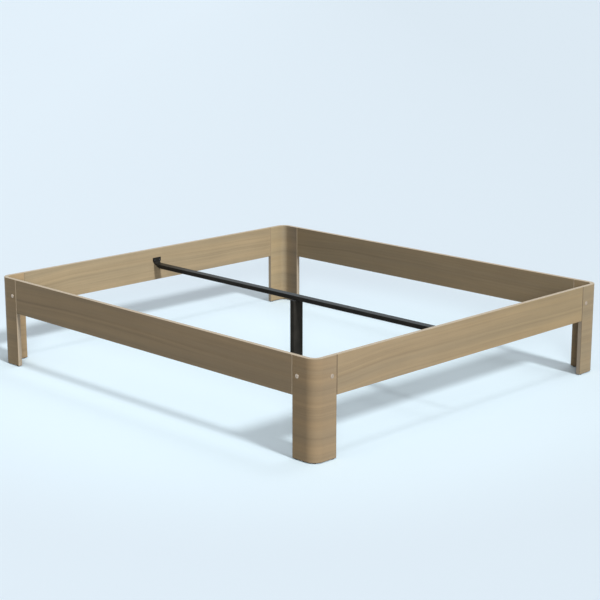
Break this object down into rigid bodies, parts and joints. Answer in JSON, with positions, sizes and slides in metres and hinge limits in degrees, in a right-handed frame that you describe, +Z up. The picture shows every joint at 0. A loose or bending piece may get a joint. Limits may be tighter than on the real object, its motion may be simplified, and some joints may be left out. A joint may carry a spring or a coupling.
{
  "type": "double bed frame",
  "caption": "Low open double bed frame: moulded L-shaped wooden legs, flush wooden rails, steel centre beam with an adjustable centre leg.",
  "frame": {"origin": "middle of the footprint at floor level", "axes": "+Z up, +Y along the bed towards the head rail, +X to the right seen from the foot"},
  "size_m": [1.8618, 2.0618, 0.416],
  "materials": {
    "moulded_oak_ply": "matt lacquered grey-tan oak veneer on moulded ply",
    "oak_veneered_board": "matt lacquered grey-tan oak veneer on ply board",
    "zinc_plated_steel": "zinc plated",
    "nickel_bolts": "satin nickel plated",
    "black_coated_steel": "black powder coat, satin",
    "black_screws": "black zinc",
    "black_plastic": "moulded, matt"
  },
  "bodies": {
    "bed_frame": {"beam_hanger_foot": "black_coated_steel", "beam_hanger_head": "black_coated_steel", "beam_screws": "black_screws", "centre_beam": "black_coated_steel", "centre_leg": "black_coated_steel", "centre_leg_bolt": "black_screws", "centre_leg_bottom_plug": "black_plastic", "centre_leg_top_insert": "zinc_plated_steel", "centre_leg_top_plug": "black_plastic", "connector_bolts": "nickel_bolts", "foot_rail": "oak_veneered_board", "hanger_screws": "black_screws", "head_rail": "oak_veneered_board", "leg_foot_left": "moulded_oak_ply", "leg_foot_right": "moulded_oak_ply", "leg_glides": "black_plastic", "leg_head_left": "moulded_oak_ply", "leg_head_right": "moulded_oak_ply", "levelling_foot_insert": "zinc_plated_steel", "side_rail_left": "oak_veneered_board", "side_rail_right": "oak_veneered_board", "tongue_foot_rail_left": "zinc_plated_steel", "tongue_foot_rail_right": "zinc_plated_steel", "tongue_head_rail_left": "zinc_plated_steel", "tongue_head_rail_right": "zinc_plated_steel", "tongue_screws": "zinc_plated_steel", "tongue_side_rail_left_foot": "zinc_plated_steel", "tongue_side_rail_left_head": "zinc_plated_steel", "tongue_side_rail_right_foot": "zinc_plated_steel", "tongue_side_rail_right_head": "zinc_plated_steel"},
    "foot_pad": {"foot_pad": "black_plastic"},
    "foot_stem": {"levelling_stem": "zinc_plated_steel"}
  },
  "joints": [
    {"name": "foot_travel", "type": "slide", "parent": "bed_frame", "child": "foot_pad", "axis": [0, 0, 1], "range_m": [-0.015, 0.008]},
    {"name": "foot_screw", "type": "hinge", "parent": "foot_pad", "child": "foot_stem", "pos_m": [0, 0, 0.01], "axis": [0, 0, 1], "range_deg": [-3600, 1920]}
  ],
  "couplings": [
    {"joint": "foot_screw", "follows": "foot_travel", "rad_per_m": 4188.8}
  ]
}
